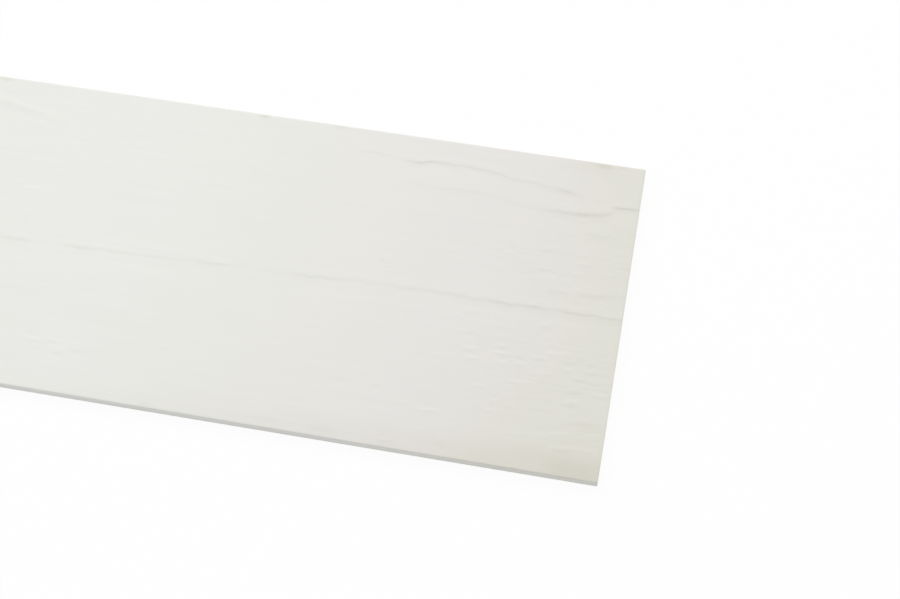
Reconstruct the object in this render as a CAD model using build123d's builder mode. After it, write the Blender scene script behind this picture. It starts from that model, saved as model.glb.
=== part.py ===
"""Fibre cement cladding plank with a wood-grain face, lying flat with that face up.

Millimetres. +X runs along the plank, +Y across it and +Z out of the face.
The origin is at the middle of the back, which lies on Z = 0.
"""

import os

from build123d import *

# Stock size
plank_length = 3600.0
plank_width = 190.0
plank_thickness = 10.0

# Edges: the press and the paint ease the long edges of the face, and the saw leaves the rest nearly sharp
face_arris_radius = 1.0
back_arris_bevel = 0.5
end_arris_bevel = 0.4

# The section across the plank is carried along it from one sawn end to the other
with BuildPart() as plank:
    with BuildSketch(Plane.YZ.offset(-plank_length / 2)) as section:
        Rectangle(plank_width, plank_thickness, align=(Align.CENTER, Align.MIN))
        fillet(section.vertices().group_by(Axis.Y)[-1], radius=face_arris_radius)
        chamfer(section.vertices().group_by(Axis.Y)[0], length=back_arris_bevel)
    extrude(amount=plank_length)
    sawn_ends = plank.faces().filter_by(Axis.X)
    chamfer(sawn_ends.edges(), length=end_arris_bevel)

plank.part.label = "plank"

os.makedirs("parts", exist_ok=True)
export_step(plank.part, "parts/plank.step")
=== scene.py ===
"""The looks of a fibre cement cladding plank: a white coated face with a pressed wood grain, lying flat.

Lengths are millimetres until a mesh or a lamp is made, in metres. A place on the face is given by its
distance along the plank from the sawn end that the camera sees, and across from the middle line.
"""

import math
from typing import NamedTuple

import bpy
import numpy as np
from mathutils import Matrix, Vector


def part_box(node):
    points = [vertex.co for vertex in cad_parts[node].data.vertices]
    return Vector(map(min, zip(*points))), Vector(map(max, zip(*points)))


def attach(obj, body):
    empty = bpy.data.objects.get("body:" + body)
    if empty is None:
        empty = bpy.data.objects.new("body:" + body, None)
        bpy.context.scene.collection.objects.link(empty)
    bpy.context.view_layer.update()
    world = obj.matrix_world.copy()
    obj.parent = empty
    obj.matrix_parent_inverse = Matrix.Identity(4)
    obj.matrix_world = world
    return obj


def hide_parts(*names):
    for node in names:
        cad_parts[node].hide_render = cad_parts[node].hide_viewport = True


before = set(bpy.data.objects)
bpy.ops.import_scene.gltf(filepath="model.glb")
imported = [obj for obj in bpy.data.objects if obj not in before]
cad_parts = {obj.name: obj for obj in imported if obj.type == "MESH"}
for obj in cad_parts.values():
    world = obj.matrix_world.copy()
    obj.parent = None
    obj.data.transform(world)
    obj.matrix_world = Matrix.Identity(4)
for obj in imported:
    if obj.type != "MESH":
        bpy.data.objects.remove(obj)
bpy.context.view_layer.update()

MM = 0.001
chance = np.random.default_rng(1907)

# The stock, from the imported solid, and its edges
stock_low, stock_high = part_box("plank")
plank_length = (stock_high.x - stock_low.x) / MM
plank_width = (stock_high.y - stock_low.y) / MM
plank_thickness = (stock_high.z - stock_low.z) / MM
face_arris_radius = 1.0
back_arris_bevel = 0.5
end_arris = 0.4
face_half_width = plank_width / 2 - face_arris_radius

# Fineness of the face: short columns where the camera looks closely, longer ones further along
ticked_length = 150.0
ticked_step = 1.7
seen_length = 420.0
seen_step = 2.4
far_step = 30.0
step_growth = 1.07
row_step = 1.05
ticked_row_step = 0.66
ticked_bands = [(-80, -20), (17, 39)]
rim_row = 0.3


class Check(NamedTuple):
    """A drying crack of the timber that the press plate was cast from, with one lip lifted and one sunk."""

    level: float
    path: list
    drop: list
    width: float = 1.0


# Each check's path holds (along, across) points, and its drop (along, height of the step) points
checks = [
    Check(
        level=-2.0,
        width=0.92,
        path=[(0, 0.6), (21, 0.4), (45, 0.7), (68, 0.1), (91, 0.5), (105, 0.9), (132, 0.1), (150, 0),
              (185, -2), (205, -2.6), (244, -3.4), (293, -5.1), (353, -6.7), (380, -7.4)],
        drop=[(0, 0.36), (20, 0.38), (32, 0.46), (40, 0.2), (50, 0.57), (60, 0.3), (69, 0.58), (80, 0.27),
              (95, 0.28), (110, 0.2), (126, 0.25), (138, 0.12), (152, 0.16), (170, 0.2), (180, 0.4),
              (197, 0.1), (226, 0.05), (234, 0.12), (240, 0.38), (247, 0.3), (252, 0.2), (260, 0.06),
              (271, 0.22), (282, 0.13), (292, 0.12), (297, 0.2), (306, 0.2), (310, 0.08), (314, 0.24),
              (326, 0.28), (330, 0.06), (344, 0), (352, 0.1), (357, 0.32), (368, 0.3), (376, 0.08),
              (420, 0.2), (640, 0.35), (700, 0)],
    ),
    Check(
        level=12.0,
        path=[(0, 13.5), (16, 12.6), (26, 11.8), (40, 11.6), (90, 12)],
        drop=[(0, 0.15), (6, 0.21), (16, 0.31), (25, 0.17), (30, 0.08), (36, 0.21), (43, 0.21), (47, 0)],
    ),
    Check(
        level=49.0,
        path=[(0, 48.6), (17, 49.2), (30, 49.4), (90, 50.4)],
        drop=[(4, 0), (10, 0.13), (26, 0.22), (32, 0)],
    ),
    Check(
        level=61.5,
        width=1.05,
        path=[(0, 63.6), (16, 63.8), (23, 62.4), (31, 61.3), (36, 60.7), (43, 61), (55, 60.6), (70, 61.4),
              (85, 64), (103, 65.2), (113, 64.4), (150, 64.3), (200, 65.2)],
        drop=[(14, 0), (18, 0.5), (23, 0.6), (33, 0.58), (39, 0.43), (47, 0.39), (52, 0.2), (65, 0.08),
              (90, 0.1), (105, 0.14), (150, 0)],
    ),
    Check(
        level=68.0,
        width=0.78,
        path=[(0, 69.2), (4, 68.7), (11, 68.1), (15, 67.8), (30, 67.2), (60, 69.2), (100, 71.5), (200, 72.5)],
        drop=[(0, 0.33), (6, 0.46), (11, 0.62), (14, 0.4), (17, 0)],
    ),
    Check(
        level=78.0,
        width=0.68,
        path=[(0, 75.1), (15, 73.4), (30, 72.4), (39, 73), (48, 74.2), (68, 76.4), (77, 77), (87, 79),
              (97, 80), (112, 80.3), (121, 80.5), (130, 79.3), (137, 78.5), (145, 79.4), (155, 80.8),
              (165, 80.1), (220, 82.3)],
        drop=[(31, 0), (39, 0.27), (43, 0.42), (48, 0.19), (60, 0.19), (77, 0.23), (87, 0.36), (94, 0.25),
              (102, 0.36), (107, 0.22), (114, 0.35), (121, 0.35), (130, 0.54), (135, 0.45), (140, 0.18),
              (150, 0.08), (165, 0.18), (172, 0)],
    ),
]

# Section across a check, as (place above its path, share of its drop), and the painted shade, with a little
# dirt, at the foot of its step
check_section = [(-14, 0), (-5, -0.64), (-3.4, -0.62), (-0.9, -0.44), (0.8, 0.42), (2.3, 0.4),
                 (6, 0.06), (10, 0)]
foot_shade_section = [(-6, 0), (-3.5, 0.2), (-1.5, 0.4), (-0.3, 1), (0.8, 0)]

# Rows of the face beside a check, from its path
check_rows = [-3.0, -1.9, -1.2, -0.7, -0.2, 0.3, 0.8, 1.5]

# Raised ticks of the grain that stand out, as (along, across, length)
ticks = [
    (66, -25.5, 11), (65, -30, 14), (81, -35.2, 13), (84, -30, 9), (64, -35, 11), (43, -29.2, 9),
    (36, -25.5, 11), (54, -34.5, 8), (45, -39, 5), (39, -38, 7), (54, -45.2, 9), (47, -44.4, 9),
    (75, -51, 11), (65, -58, 6), (22, -51.6, 7), (27, -33.6, 6), (100, -69.5, 17), (67, -64, 8),
    (55, -59.5, 6), (76, 33, 6), (71, 31.2, 8), (29, 30.6, 9), (30, 24, 5), (45, 19.3, 7), (36, 18.9, 6),
    (28, 14, 9), (25, -71, 16), (22, -79, 20), (8, -69.6, 14), (5, -45.6, 10), (32, 57, 9),
    (122, -90.5, 8), (336, -65.8, 10), (236, -1.8, 10), (360, 26, 10), (94, -10.9, 6), (86, -7.8, 7),
    (43, -9.3, 6), (302, 41.4, 6),
]

# Sunk ticks there, likewise
sunk_ticks = [
    (26, -29.8, 12), (28, -26, 6), (20, -26, 5), (13, -34.2, 12), (55, -30.8, 9), (14, -29.2, 11),
    (19, -39, 11), (11, -40, 10), (20, -46.2, 11), (22, -54.2, 12), (13, -63.6, 18), (91, -88, 7),
    (49, 35.2, 13), (25, 29, 7), (49, 23.5, 11), (85, -20.6, 9), (42, -11.6, 9), (308, -68.6, 14),
    (319, -71.6, 9), (323, -65.2, 8), (142, 14, 8), (132, -60.6, 6), (177, -31.8, 7), (153, -60, 9),
    (237, 33.7, 4),
]

# Sections across a raised and a sunk tick, as (place above its middle, share of its rise), their rises,
# how much they lean, and how many small ones lie near the sawn end and further along
tick_section = [(-1.8, 0), (0, 0.55), (1.5, -0.45), (6, 0)]
sunk_section = [(-5, 0), (-0.9, -0.5), (0.9, 0.5), (5, 0)]
tick_rise = 0.37
sunk_rise = 0.3
tick_lean = 0.1
small_tick_count = 520
small_tick_spread = 0.045
far_tick_count = 1500
far_tick_spread = 0.12

# A swell of the grain near the far side, as (along, across, length, lean), its section and its rise
swell = (385, 78.3, 100, -0.2)
swell_section = [(-4, 0), (0, 1), (3.2, 0)]
swell_rise = 0.34


class DarkSpot(NamedTuple):
    """A soft darker spot on the face, dirt, and painted shade at the sawn end's low corner: its place, its
    reach along and across, and its strength.
    """

    along: float
    across: float
    length: float
    width: float
    strength: float


# Darker spots: dirt, and at the low corner of the sawn end painted shade as well
dark_spots = [
    DarkSpot(20, -91, 18, 11.0, 0.27),
    DarkSpot(5, -91, 13, 11.0, 0.22),
    DarkSpot(24, 93.5, 9, 3.2, 0.4),
    DarkSpot(14, 94, 5, 2.4, 0.2),
    DarkSpot(35, 94.5, 5, 2.0, 0.2),
    DarkSpot(8, -69, 26, 15.0, 0.1),
    DarkSpot(32, 91, 30, 7.0, 0.08),
    DarkSpot(44, 74, 9, 5.0, 0.08),
    DarkSpot(121, -91, 9, 4.5, 0.12),
    DarkSpot(157, -91, 11, 4.0, 0.13),
    DarkSpot(191, -90, 12, 4.0, 0.08),
    DarkSpot(261, -93, 6, 3.0, 0.15),
    DarkSpot(184, 94, 6, 1.8, 0.25),
    DarkSpot(231, 93.5, 5, 2.2, 0.35),
    DarkSpot(395, 93.5, 8, 1.8, 0.3),
]


def ramp(value, start, end):
    """0 before start and 1 after end, with a smooth rise between them."""
    share = np.clip((value - start) / (end - start), 0, 1)
    return share * share * (3 - 2 * share)


def smooth_line(points, places):
    """Values of a curve through (place, value) points, level beyond its ends."""
    known, value = np.array(points, float).T
    slope = np.gradient(value, known)
    slope[[0, -1]] = 0
    places = np.clip(places, known[0], known[-1])
    i = np.clip(np.searchsorted(known, places) - 1, 0, len(known) - 2)
    span = known[i + 1] - known[i]
    t = (places - known[i]) / span
    start = (1 + 2 * t) * (1 - t) ** 2 * value[i] + t * (1 - t) ** 2 * span * slope[i]
    end = t**2 * (3 - 2 * t) * value[i + 1] - t**2 * (1 - t) * span * slope[i + 1]
    return start + end


def column_places():
    """Places along the plank where its section is drawn."""
    places = [end_arris]
    step = ticked_step
    while places[-1] + 1.5 * step < plank_length - end_arris:
        places.append(places[-1] + step)
        if places[-1] > seen_length:
            step = min(step * step_growth, far_step)
        elif places[-1] > ticked_length:
            step = seen_step
    return np.array(places + [plank_length - end_arris])


def row_levels():
    """Levels of the grain that the face's rows follow, at set places beside the checks."""
    bounds = [-face_half_width, *np.ravel(ticked_bands), face_half_width]
    rows = np.array([-face_half_width])
    for i, (low, high) in enumerate(zip(bounds, bounds[1:])):
        step = ticked_row_step if i % 2 else row_step
        rows = np.append(rows, np.linspace(low, high, round((high - low) / step) + 1)[1:])
    rows = np.append(rows, [rim_row - face_half_width, face_half_width - rim_row])
    for check in checks:
        beside = check.level + check.width * np.array(check_rows)
        rows = rows[(rows < beside[0] - 0.6 * row_step) | (rows > beside[-1] + 0.6 * row_step)]
        rows = np.append(rows, beside)
    return np.sort(rows)


def grain_wander(along, level):
    """How far the grain strays across the plank, in slow waves that fade towards its long edges."""
    waves = 1.4 * np.sin(along / 52 + level / 38) + 2.2 * np.sin(along / 147 - level / 61 + 1.3)
    return waves * (1 - (level / face_half_width) ** 4)


def check_line(check, along):
    """Where a check runs, with the small kinks of a crack that steps from fibre to fibre."""
    kinks = 0.22 * np.sin(along / 1.7 + check.level) + 0.25 * np.sin(along / 3.1 + 2 * check.level)
    return smooth_line(check.path, along) + kinks


def grain_lines(along, levels):
    """Where each level of the grain lies across the plank, at each place along it."""
    guides = sorted(checks, key=lambda check: check.level)
    guide_levels = np.array([-face_half_width] + [check.level for check in guides] + [face_half_width])
    pull = np.zeros((len(along), len(guide_levels)))
    for column, check in enumerate(guides, start=1):
        free = check.level + grain_wander(along, check.level)
        held = 1 - ramp(along, check.path[-1][0], check.path[-1][0] + 180)
        pull[:, column] = (check_line(check, along) - free) * held
    free_lines = levels + grain_wander(along[:, None], levels)
    return free_lines + np.array([np.interp(levels, guide_levels, row) for row in pull])


def check_relief(along, across, far_count=26):
    """The height of the checks over the face, near and further along, and the painted shade, with a little
    dirt, at their feet.
    """
    height = np.zeros_like(across)
    foot_shade = np.zeros_like(across)

    def press(path, drop, width):
        place = (across - path[:, None]) / width
        height[:] += drop[:, None] * np.interp(place, *np.array(check_section, float).T)
        foot_shade[:] = np.maximum(foot_shade, drop[:, None] * np.interp(place, *np.array(foot_shade_section, float).T))

    for check in checks:
        start = check.drop[0][0]
        drop = np.interp(along, *np.array(check.drop, float).T, right=0)
        drop[along < start] *= start == 0
        press(check_line(check, along), drop * chance.uniform(0.8, 1.2, len(along)), check.width)
    for _ in range(far_count):
        start = chance.uniform(seen_length + 40, plank_length - 150)
        length = chance.uniform(120, 620)
        share = np.clip((along - start) / length, 0, 1)
        drop = chance.uniform(0.3, 0.62) * np.sin(math.pi * share) ** 0.6
        drop = drop * (0.65 + 0.35 * np.sin(along / chance.uniform(14, 30) + start))
        press(across[:, chance.integers(4, across.shape[1] - 4)], drop, chance.uniform(0.9, 1.3))
    return height, foot_shade


def soft_spots(along, across):
    """How much the dark spots darken the face: dirt, and painted shade at the sawn end's low corner."""
    darkening = np.zeros_like(across)
    for spot in dark_spots:
        away = np.hypot((along[:, None] - spot.along) / spot.length, (across - spot.across) / spot.width)
        darkening += spot.strength * (1 - ramp(away, 0, 1))
    return darkening


def grain_strength(along):
    """How strongly the fine grain shows: most at the sawn end, least a little way in from it."""
    return 0.4 + 1.2 * (1 - ramp(along, 0, 240)) + 0.6 * ramp(along, 420, 700)


def fibre_streaks(along, levels, run, height):
    """Fine ridges along the grain, whose height changes over about one run."""
    knots = np.arange(-run, plank_length + 3 * run, run)
    heights = chance.normal(0, 1, (len(levels), len(knots)))
    shift = chance.uniform(0, run, len(levels))
    field = np.array([np.interp(along + shift[j], knots, heights[j]) for j in range(len(levels))]).T
    padded = np.pad(field, ((0, 0), (1, 1)), mode="edge")
    field = (padded[:, :-2] + 2 * field + padded[:, 2:]) / 3
    return height * grain_strength(along)[:, None] * field


def tick_shape(along, place, length):
    """The rise and fall of one tick along the plank."""
    share = np.clip(abs(along - place) / (length / 2), 0, 1)
    return (1 - share**2) ** 2


def grain_ticks(along, across):
    """Short raised and sunk ticks of the grain, those that stand out and many small ones."""
    height = np.zeros_like(across)

    def strike(place, path, length, section, rise):
        near = abs(along - place) < length / 2
        off = across[near] - path[near, None]
        shape = tick_shape(along[near], place, length)
        height[near] += rise * shape[:, None] * np.interp(off, *np.array(section, float).T)

    for section, rise, group in ((tick_section, tick_rise, ticks), (sunk_section, sunk_rise, sunk_ticks)):
        for place, middle, length in group:
            strike(place, middle + tick_lean * (place - along), length, section, rise)
    place, middle, length, lean = swell
    strike(place, middle + lean * (place - along), length, swell_section, swell_rise)
    for _ in range(small_tick_count):
        place = seen_length * chance.uniform(0, 1) ** 1.6
        middle = chance.uniform(-face_half_width, face_half_width)
        rise = chance.normal(0, small_tick_spread) * grain_strength(place)
        strike(place, middle + tick_lean * (place - along), chance.uniform(6, 20), tick_section, rise)
    for _ in range(far_tick_count):
        place = chance.uniform(seen_length, plank_length)
        path = across[:, chance.integers(2, across.shape[1] - 2)]
        strike(place, path, chance.uniform(60, 130), tick_section, chance.normal(0, far_tick_spread))
    return height


class Arch(NamedTuple):
    """A nest of flame-shaped growth rings: where its first tip and its axis are, and which way it opens."""

    tip: float
    axis: float
    opens: int
    reach: float
    spread: float = 6.4


arches = [
    Arch(tip=760, axis=-18, opens=1, reach=620),
    Arch(tip=1980, axis=22, opens=-1, reach=520),
    Arch(tip=2150, axis=-30, opens=1, reach=560),
    Arch(tip=3420, axis=10, opens=-1, reach=560),
]
ring_pitch = 58.0
ring_height = 0.14


def growth_rings(along, levels):
    """Flat waves of the growth rings, in nests of pointed arches."""
    height = np.zeros((len(along), len(levels)))
    for arch in arches:
        inside = arch.opens * (along[:, None] - arch.tip)
        off_axis = levels - arch.axis
        ring = (inside - off_axis**2 / arch.spread) / ring_pitch
        wave = np.sin(2 * math.pi * ring + 0.6 * np.sin(2 * math.pi * ring))
        near_tip = ramp(ring, -1.1, -0.5)
        faded = 1 - ramp(inside, 0.45 * arch.reach, arch.reach)
        narrow = 1 - ramp(abs(off_axis), 22, 46)
        height += ring_height * wave * near_tip * faded * narrow
    return height


def plank_section_rows(top_across, top_height):
    """The closed section at every column, as across and height, and the name of each of its strips."""
    half = plank_width / 2
    arris_turn = np.radians([60, 30, 0])
    shoulder = plank_thickness - face_arris_radius
    side_heights = np.array([6.4, 3.4])
    side_inset = 0.08
    side_bow = 0.05
    back_corner = half - back_arris_bevel
    back_across = np.linspace(back_corner, -back_corner, 9)
    count = len(top_across)

    def edge(side, rim):
        arris_across = half - face_arris_radius * (1 - np.cos(arris_turn))
        arris_height = shoulder + np.sin(arris_turn) * (rim[:, None] - shoulder)
        bow = side_bow * chance.normal(0, 1, (count, 2)).clip(-1.5, 1.0)
        bevel_across = np.full((count, 1), half)
        bevel_height = np.full((count, 1), back_arris_bevel)
        across = np.hstack([np.tile(arris_across, (count, 1)), half - side_inset + bow, bevel_across])
        height = np.hstack([arris_height, np.tile(side_heights, (count, 1)), bevel_height])
        return side * across, height

    far_across, far_height = edge(1, top_height[:, -1])
    near_across, near_height = edge(-1, top_height[:, 0])
    back = np.tile(back_across, (count, 1))
    across = np.hstack([top_across, far_across, back, near_across[:, ::-1]])
    height = np.hstack([top_height, far_height, 0 * back, near_height[:, ::-1]])
    strips = ["face"] * top_across.shape[1] + ["edge"] * far_across.shape[1]
    strips += ["back"] * (len(back_across) - 1) + ["edge"] * (near_across.shape[1] + 1)
    return across, height, strips


def lay_flat(mesh, strips, across, height):
    """Lays the skin out flat, with a set share of the picture's height for each side and both ends on top."""
    columns, ring = across.shape
    side_share = {"face": 0.55, "edge": 0.1, "back": 0.33}
    strip_share = [side_share[strip] / strips.count(strip) for strip in strips]
    v = np.hstack([0, np.cumsum(strip_share)])
    u = np.linspace(0, 1, columns)
    indices = np.meshgrid(np.arange(columns - 1), np.arange(ring), indexing="ij")
    column, place = (index.ravel() for index in indices)
    skin_u = np.stack([u[column], u[column], u[column + 1], u[column + 1]], axis=-1)
    skin_v = np.stack([v[place], v[place + 1], v[place + 1], v[place]], axis=-1)
    end_spacing = 1.04 * plank_width
    end_margin, end_share = 0.01, 0.48
    ends_start, ends_share = 0.985, 0.013
    end_across = np.hstack([across[0, ::-1], across[-1] + end_spacing])
    end_u = end_margin + end_share * (0.5 + end_across / plank_width)
    end_v = ends_start + ends_share * np.hstack([height[0, ::-1], height[-1]]) / plank_thickness
    places = np.stack([np.hstack([skin_u.ravel(), end_u]), np.hstack([skin_v.ravel(), end_v])], axis=-1)
    mesh.uv_layers.new(name="OFBake").data.foreach_set("uv", places.ravel())


def pressed_plank():
    """The plank as one closed mesh, with the grain pressed into its face."""
    along = column_places()
    levels = row_levels()
    across = grain_lines(along, levels)
    across[:, 0], across[:, -1] = -face_half_width, face_half_width
    relief, foot_shade = check_relief(along, across)
    darkening = soft_spots(along, across)
    relief += growth_rings(along, levels)
    relief += fibre_streaks(along, levels, run=46, height=0.01)
    relief += fibre_streaks(along, levels, run=150, height=0.01)
    relief += grain_ticks(along, across)
    relief -= relief.max()
    across, height, strips = plank_section_rows(across, plank_thickness + relief)

    middle = plank_thickness / 2
    end_across, end_height = across[[0, -1]], height[[0, -1]]
    for turn in np.radians([45, 0]):
        inset = end_arris * (1 - math.sin(turn))
        place = end_arris * (1 - math.cos(turn))
        eased_across = end_across * (1 - 2 * inset / plank_width)
        eased_height = middle + (end_height - middle) * (1 - 2 * inset / plank_thickness)
        across = np.vstack([eased_across[:1], across, eased_across[1:]])
        height = np.vstack([eased_height[:1], height, eased_height[1:]])
        along = np.hstack([place, along, plank_length - place])

    columns, ring = across.shape
    lengthwise = stock_high.x / MM - along[:, None] + 0 * across
    points = np.stack([lengthwise, across, height], axis=-1).reshape(-1, 3)
    column, place = np.meshgrid(np.arange(columns - 1), np.arange(ring), indexing="ij")
    after = (place + 1) % ring
    here, beyond = column * ring, (column + 1) * ring
    corners = [here + place, here + after, beyond + after, beyond + place]
    quads = np.stack(corners, axis=-1).reshape(-1, 4).tolist()
    seen_end = list(range(ring))[::-1]
    far_end = list(range((columns - 1) * ring, columns * ring))

    mesh = bpy.data.meshes.new("pressed_plank")
    mesh.from_pydata(points * MM, [], quads + [seen_end, far_end])
    finish_of = {"face": 0, "edge": 0, "back": 1, "end": 2}
    finishes = np.tile([finish_of[strip] for strip in strips], columns - 1).tolist()
    finishes += [finish_of["end"]] * 2
    mesh.polygons.foreach_set("material_index", finishes)
    mesh.polygons.foreach_set("use_smooth", [True] * len(quads) + [False, False])
    sharp_edge = 38
    mesh.set_sharp_from_angle(angle=math.radians(sharp_edge))

    # The painted shade at the foot of the checks goes on the mesh as a share, beside the dark spots
    deepest_step = 0.8
    for name, shares in (("check_foot_shade", foot_shade / deepest_step), ("dark_spot", darkening)):
        values = np.zeros((columns, ring))
        values[2:-2, : len(levels)] = np.clip(shares, 0, 1)
        values[:2], values[-2:] = values[2], values[-3]
        mesh.attributes.new(name, "FLOAT", "POINT").data.foreach_set("value", values.ravel())
    lay_flat(mesh, strips, across, height)
    mesh.update()
    plank = bpy.data.objects.new("grain_plank", mesh)
    bpy.context.scene.collection.objects.link(plank)
    return plank


def paint(hex_colour):
    """A written sRGB colour as linear red, green, blue and alpha."""
    shares = [int(hex_colour[i : i + 2], 16) / 255 for i in (1, 3, 5)]
    return tuple(c / 12.92 if c <= 0.04045 else ((c + 0.055) / 1.055) ** 2.4 for c in shares) + (1.0,)


def add(tree, kind, settings=None, values=None, links=None):
    """A new node with its settings, the values of its sockets, and the sockets that feed it."""
    made = tree.nodes.new(kind)
    for name, value in (settings or {}).items():
        setattr(made, name, value)
    for socket, value in (values or {}).items():
        made.inputs[socket].default_value = value
    for socket, source in (links or {}).items():
        tree.links.new(source, made.inputs[socket])
    return made


def empty_material(name):
    """A new material with no nodes but its output."""
    material = bpy.data.materials.new(name)
    material.use_nodes = True
    tree = material.node_tree
    tree.nodes.clear()
    return material, tree, add(tree, "ShaderNodeOutputMaterial")


def repeats(size):
    """Repeats in a metre of a pattern whose grains are that many millimetres across."""
    return 1 / (size * MM)


def clean_film(tree, place, fibres):
    """The coat's own colour: off-white, faintly clouded, and greyer in streaks where the fibres lie."""
    clouds = add(
        tree, "ShaderNodeTexNoise", values={"Scale": repeats(60), "Detail": 3}, links={"Vector": place}
    )
    mottled = add(
        tree, "ShaderNodeMix", {"data_type": "RGBA"},
        {"A": paint("#EDEEE9"), "B": paint("#E9EAE5")}, {"Factor": clouds.outputs["Fac"]},
    )
    streaked = add(
        tree, "ShaderNodeMapRange", values={"From Min": 0.3, "From Max": 0.7, "To Min": 0.0, "To Max": 0.25},
        links={"Value": fibres.outputs["Fac"]},
    )
    grained = add(
        tree, "ShaderNodeMix", {"data_type": "RGBA"}, {"B": paint("#E5E6E0")},
        {"A": mottled.outputs["Result"], "Factor": streaked.outputs[0]},
    )
    return grained.outputs["Result"]


def end_shade_and_yellowing(tree, split, ragged_noise, film):
    """Painted shade greying the face towards the handled end, sooner on the low side, and a yellowing at that
    end; both less under the arris.
    """
    end_slant = 0.45
    end_shade_reach = 330 * MM
    grip_start, grip_end = 60 * MM, 30 * MM
    ragged_along_reach = 50 * MM
    low_side = add(tree, "ShaderNodeMath", {"operation": "MINIMUM"}, {1: 0.0}, {0: split.outputs["Y"]})
    slanted_x = add(
        tree, "ShaderNodeMath", {"operation": "MULTIPLY_ADD"}, {1: -end_slant},
        {0: low_side.outputs[0], 2: split.outputs["X"]},
    )
    # Painted shade: the face greys towards the sawn end, starting sooner on the low side
    end_shade = add(
        tree, "ShaderNodeMapRange", {"interpolation_type": "SMOOTHSTEP"},
        {"From Min": stock_high.x - end_shade_reach, "From Max": stock_high.x}, {"Value": slanted_x.outputs[0]},
    )
    face_share = add(
        tree, "ShaderNodeMapRange",
        values={"From Min": stock_high.z - 4 * MM, "From Max": stock_high.z - 1.0 * MM, "To Min": 0.3},
        links={"Value": split.outputs["Z"]},
    )
    end_shade_here = add(
        tree, "ShaderNodeMath", {"operation": "MULTIPLY"},
        links={0: end_shade.outputs[0], 1: face_share.outputs[0]},
    )
    shade_greyed = add(
        tree, "ShaderNodeMix", {"data_type": "RGBA"}, {"B": paint("#E7E4E0")},
        {"A": film, "Factor": end_shade_here.outputs[0]},
    )
    ragged_x = add(
        tree, "ShaderNodeMath", {"operation": "MULTIPLY_ADD"}, {1: ragged_along_reach},
        {0: ragged_noise.outputs["Fac"], 2: slanted_x.outputs[0]},
    )
    grip = add(
        tree, "ShaderNodeMapRange", {"interpolation_type": "SMOOTHSTEP"},
        {"From Min": stock_high.x - grip_start, "From Max": stock_high.x + grip_end, "To Max": 0.82},
        {"Value": ragged_x.outputs[0]},
    )
    grip_here = add(
        tree, "ShaderNodeMath", {"operation": "MULTIPLY"}, links={0: grip.outputs[0], 1: face_share.outputs[0]}
    )
    yellowed = add(
        tree, "ShaderNodeMix", {"data_type": "RGBA"}, {"B": paint("#E1E0D6")},
        {"A": shade_greyed.outputs["Result"], "Factor": grip_here.outputs[0]},
    )
    return end_shade, grip, yellowed.outputs["Result"]


def darkened_film(tree, split, ragged_noise, end_shade, grip, film):
    """A ragged browner band of painted shade and dirt along the low edge, wider and darker towards the
    handled end, and the dark spots.
    """
    band_taper = 0.03
    ragged_reach = 14 * MM
    band_top, band_full = 30 * MM, 15 * MM
    ragged_y = add(
        tree, "ShaderNodeMath", {"operation": "MULTIPLY_ADD"}, {1: ragged_reach},
        {0: ragged_noise.outputs["Fac"], 2: split.outputs["Y"]},
    )
    tapered_y = add(
        tree, "ShaderNodeMath", {"operation": "MULTIPLY_ADD"}, {1: -band_taper},
        {0: split.outputs["X"], 2: ragged_y.outputs[0]},
    )
    low_edge = stock_low.y - band_taper * stock_high.x
    edge_near = add(
        tree, "ShaderNodeMapRange", {"interpolation_type": "SMOOTHSTEP"},
        {"From Min": low_edge + band_top, "From Max": low_edge + band_full}, {"Value": tapered_y.outputs[0]},
    )
    on_face = add(
        tree, "ShaderNodeMapRange",
        values={"From Min": stock_high.z - 1.8 * MM, "From Max": stock_high.z - 1.0 * MM},
        links={"Value": split.outputs["Z"]},
    )
    # The band darkens more where the painted end shade and the yellowing are stronger
    band_base = add(
        tree, "ShaderNodeMath", {"operation": "MULTIPLY_ADD"}, {1: 0.12, 2: 0.03}, {0: end_shade.outputs[0]}
    )
    darkening = add(
        tree, "ShaderNodeMath", {"operation": "MULTIPLY_ADD"}, {1: 0.1},
        {0: grip.outputs[0], 2: band_base.outputs[0]},
    )
    dark_spot = add(tree, "ShaderNodeAttribute", {"attribute_name": "dark_spot"})
    darkness = add(
        tree, "ShaderNodeMath", {"operation": "MULTIPLY_ADD"},
        links={0: edge_near.outputs[0], 1: darkening.outputs[0], 2: dark_spot.outputs["Fac"]},
    )
    darkness_here = add(
        tree, "ShaderNodeMath", {"operation": "MULTIPLY"}, links={0: darkness.outputs[0], 1: on_face.outputs[0]}
    )
    # Brownish colour of the low-edge band and the dark spots: painted shade and dirt
    darkened = add(
        tree, "ShaderNodeMix", {"data_type": "RGBA"}, {"B": paint("#C8C3B1")},
        {"A": film, "Factor": darkness_here.outputs[0]},
    )
    return darkened.outputs["Result"]


def shaded_check_feet(tree, film):
    """Painted shade, and a little dirt, at the foot of each check."""
    check_foot_shade = add(tree, "ShaderNodeAttribute", {"attribute_name": "check_foot_shade"})
    check_shade_share = add(
        tree, "ShaderNodeMapRange", values={"From Min": 0.06, "From Max": 1.0, "To Min": 0.0, "To Max": 0.19},
        links={"Value": check_foot_shade.outputs["Fac"]},
    )
    # Grey of the painted shade at the check feet
    colour = add(
        tree, "ShaderNodeMix", {"data_type": "RGBA"}, {"B": paint("#C4C1B3")},
        {"A": film, "Factor": check_shade_share.outputs[0]},
    )
    return colour.outputs["Result"]


def coat_relief(tree, place, fibres):
    """The fibres that show through the coat, and the fine peel of a sprayed coat."""
    peel = add(
        tree, "ShaderNodeTexNoise", values={"Scale": repeats(1.5), "Detail": 2}, links={"Vector": place}
    )
    fibre_bump = add(
        tree, "ShaderNodeBump", values={"Strength": 1.0, "Distance": 0.02 * MM},
        links={"Height": fibres.outputs["Fac"]},
    )
    bump = add(
        tree, "ShaderNodeBump", values={"Strength": 1.0, "Distance": 0.012 * MM},
        links={"Height": peel.outputs["Fac"], "Normal": fibre_bump.outputs[0]},
    )
    return bump


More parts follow.
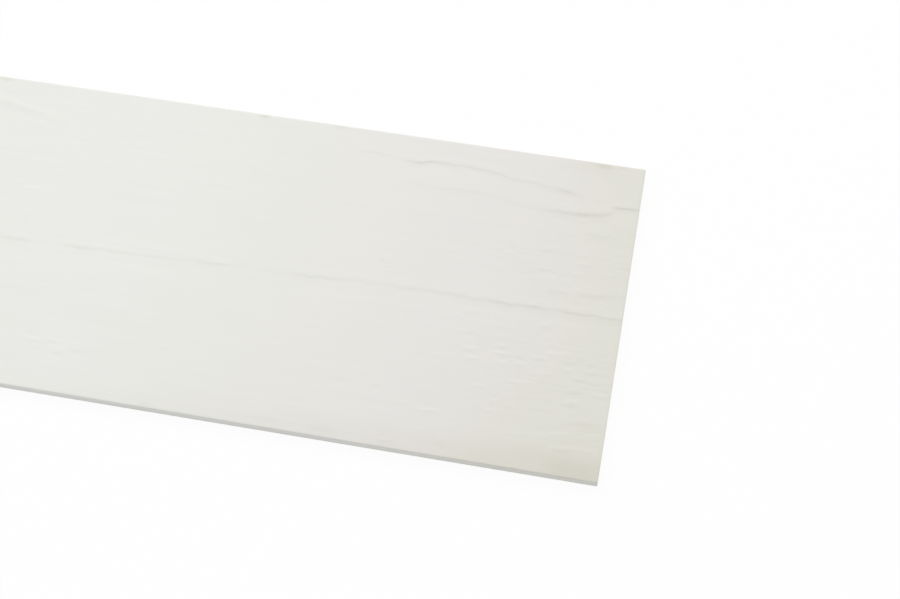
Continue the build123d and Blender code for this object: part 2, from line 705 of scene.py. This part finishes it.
def sprayed_acrylic():
    """Acrylic coat, sprayed on pressed fibre cement and dried hot: off-white, with an eggshell sheen.

    The eye sees the grain by its shading. A little grey painted shade, with a little dirt, lies at the foot
    of each check, painted shade greys the face towards the handled end, that end is faintly yellowed, and a
    browner band of painted shade and dirt runs along the low long edge. The fibres are streaks 70 mm long
    and 2.4 mm wide, clouds are 60 mm across and the ragged edges of the marks 22 mm, and the peel of the
    sprayed coat is drawn at 1.5 mm, coarser than it is.
    """
    material, tree, output = empty_material("sprayed_acrylic_coat")
    place = add(tree, "ShaderNodeTexCoord").outputs["Object"]
    split = add(tree, "ShaderNodeSeparateXYZ", links={0: place})

    fibre_size = (repeats(70), repeats(2.4), repeats(2.4))
    fibre_place = add(tree, "ShaderNodeVectorMath", {"operation": "MULTIPLY"}, {1: fibre_size}, {0: place})
    fibres = add(
        tree, "ShaderNodeTexNoise", values={"Scale": 1, "Detail": 3}, links={"Vector": fibre_place.outputs[0]}
    )
    ragged_noise = add(
        tree, "ShaderNodeTexNoise", values={"Scale": repeats(22), "Detail": 3}, links={"Vector": place}
    )
    film = clean_film(tree, place, fibres)
    end_shade, grip, film = end_shade_and_yellowing(tree, split, ragged_noise, film)
    film = darkened_film(tree, split, ragged_noise, end_shade, grip, film)
    film = shaded_check_feet(tree, film)
    bump = coat_relief(tree, place, fibres)
    sheen = add(
        tree, "ShaderNodeMapRange", values={"To Min": 0.64, "To Max": 0.8},
        links={"Value": fibres.outputs["Fac"]},
    )
    coat = add(
        tree, "ShaderNodeBsdfPrincipled", values={"IOR": 1.49},
        links={"Base Color": film, "Roughness": sheen.outputs[0], "Normal": bump.outputs[0]},
    )
    tree.links.new(coat.outputs[0], output.inputs["Surface"])
    return material


def sealed_felt_back():
    """Fibre cement as it left the felt, under a thin sealer: pale grey and dull, faintly printed by the felt.

    The print is drawn at 2.5 mm, coarser than the felt's weave.
    """
    material, tree, output = empty_material("sealed_felt_back")
    place = add(tree, "ShaderNodeTexCoord").outputs["Object"]
    clouds = add(
        tree, "ShaderNodeTexNoise", values={"Scale": repeats(45), "Detail": 5}, links={"Vector": place}
    )
    felt = add(
        tree, "ShaderNodeTexNoise", values={"Scale": repeats(2.5), "Detail": 3}, links={"Vector": place}
    )
    colour = add(
        tree, "ShaderNodeMix", {"data_type": "RGBA"},
        {"A": paint("#CFCCC3"), "B": paint("#BDBAB0")}, {"Factor": clouds.outputs["Fac"]},
    )
    bump = add(
        tree, "ShaderNodeBump", values={"Strength": 1.0, "Distance": 0.05 * MM},
        links={"Height": felt.outputs["Fac"]},
    )
    back = add(
        tree, "ShaderNodeBsdfPrincipled", values={"IOR": 1.5, "Roughness": 0.85},
        links={"Base Color": colour.outputs["Result"], "Normal": bump.outputs[0]},
    )
    tree.links.new(back.outputs[0], output.inputs["Surface"])
    return material


def sawn_end():
    """Fibre cement cut by a saw and sealed: grey-white, with fine lines where its thin sheets meet.

    The sheets are 0.9 mm thick, and the grit of the cut is drawn at 0.8 mm, coarser than it is.
    """
    material, tree, output = empty_material("sawn_sealed_end")
    place = add(tree, "ShaderNodeTexCoord").outputs["Object"]
    ply_size = (repeats(30), repeats(30), repeats(0.9))
    ply_place = add(tree, "ShaderNodeVectorMath", {"operation": "MULTIPLY"}, {1: ply_size}, {0: place})
    plies = add(
        tree, "ShaderNodeTexNoise", values={"Scale": 1, "Detail": 2}, links={"Vector": ply_place.outputs[0]}
    )
    grit = add(
        tree, "ShaderNodeTexNoise", values={"Scale": repeats(0.8), "Detail": 3}, links={"Vector": place}
    )
    colour = add(
        tree, "ShaderNodeMix", {"data_type": "RGBA"},
        {"A": paint("#DCDAD2"), "B": paint("#BFBCB2")}, {"Factor": plies.outputs["Fac"]},
    )
    bump = add(
        tree, "ShaderNodeBump", values={"Strength": 1.0, "Distance": 0.1 * MM},
        links={"Height": grit.outputs["Fac"]},
    )
    cut = add(
        tree, "ShaderNodeBsdfPrincipled", values={"IOR": 1.5, "Roughness": 0.8},
        links={"Base Color": colour.outputs["Result"], "Normal": bump.outputs[0]},
    )
    tree.links.new(cut.outputs[0], output.inputs["Surface"])
    return material


def seen_directly(tree):
    """1 for what the camera sees, straight, mirrored or through glass, and 0 for light on a piece."""
    path = add(tree, "ShaderNodeLightPath")
    mirrored = add(
        tree, "ShaderNodeMath", {"operation": "MAXIMUM"},
        links={0: path.outputs["Is Camera Ray"], 1: path.outputs["Is Glossy Ray"]},
    )
    return add(
        tree, "ShaderNodeMath", {"operation": "MAXIMUM"},
        links={0: mirrored.outputs[0], 1: path.outputs["Is Transmission Ray"]},
    )


def studio_floor():
    """A matt white paper floor, seen nearly white, that keeps a faint shadow."""
    material, tree, output = empty_material("white_paper_floor")
    paper = add(tree, "ShaderNodeBsdfDiffuse", values={"Color": paint("#F7F7F7")})
    white = add(tree, "ShaderNodeEmission", values={"Color": (1, 1, 1, 1), "Strength": 1.0})
    share = add(
        tree, "ShaderNodeMath", {"operation": "MULTIPLY"}, {1: 0.94}, {0: seen_directly(tree).outputs[0]}
    )
    seen = add(
        tree, "ShaderNodeMixShader", links={0: share.outputs[0], 1: paper.outputs[0], 2: white.outputs[0]}
    )
    tree.links.new(seen.outputs[0], output.inputs["Surface"])

    half = 60.0
    level = stock_low.z - 0.05 * MM
    mesh = bpy.data.meshes.new("studio_floor")
    corners = [(-half, -half, level), (half, -half, level), (half, half, level), (-half, half, level)]
    mesh.from_pydata(corners, [], [(0, 1, 2, 3)])
    mesh.materials.append(material)
    floor = bpy.data.objects.new("studio_floor", mesh)
    bpy.context.scene.collection.objects.link(floor)


def studio_light():
    """Even light from all round, and a long soft box above and behind the plank."""
    world = bpy.data.worlds.new("studio")
    world.use_nodes = True
    tree = world.node_tree
    tree.nodes.clear()
    output = add(tree, "ShaderNodeOutputWorld")
    around = add(tree, "ShaderNodeBackground", values={"Color": (1, 1, 1, 1), "Strength": 0.585})
    white = add(tree, "ShaderNodeBackground", values={"Color": (1, 1, 1, 1), "Strength": 1.0})
    seen = add(
        tree, "ShaderNodeMixShader",
        links={0: seen_directly(tree).outputs[0], 1: around.outputs[0], 2: white.outputs[0]},
    )
    tree.links.new(seen.outputs[0], output.inputs["Surface"])
    bpy.context.scene.world = world

    lamp = bpy.data.lights.new("soft_box", "AREA")
    lamp.shape = "RECTANGLE"
    lamp.size = 5.4
    lamp.size_y = 1.95
    lamp.energy = 64.8
    soft_box = bpy.data.objects.new("soft_box", lamp)
    soft_box.location = (0.4, 1.5, 2.5)
    towards_plank = Vector((0, -soft_box.location.y, -soft_box.location.z))
    soft_box.rotation_euler = towards_plank.to_track_quat("-Z", "Y").to_euler()
    bpy.context.scene.collection.objects.link(soft_box)


def photo_camera():
    """A camera over the sawn end, looking down on the face."""
    aim = Vector((stock_high.x - 99.83 * MM, -3.02 * MM, stock_high.z))
    distance = 919.0 * MM
    azimuth, elevation, roll = (math.radians(angle) for angle in (19.38, 71.86, -9.63))
    turn = (
        Matrix.Rotation(azimuth, 4, "Z")
        @ Matrix.Rotation(math.pi / 2 - elevation, 4, "X")
        @ Matrix.Rotation(roll, 4, "Z")
    )
    lens = bpy.data.cameras.new("photo_camera")
    lens.sensor_width = 36
    lens.lens = 63.67
    camera = bpy.data.objects.new("photo_camera", lens)
    camera.matrix_world = Matrix.Translation(aim) @ turn @ Matrix.Translation((0, 0, distance))
    bpy.context.scene.collection.objects.link(camera)
    bpy.context.scene.camera = camera


plank = pressed_plank()
for finish in (sprayed_acrylic(), sealed_felt_back(), sawn_end()):
    plank.data.materials.append(finish)
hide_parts("plank")
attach(plank, "root")

studio_floor()
studio_light()
photo_camera()
bpy.context.scene.view_settings.view_transform = "Standard"
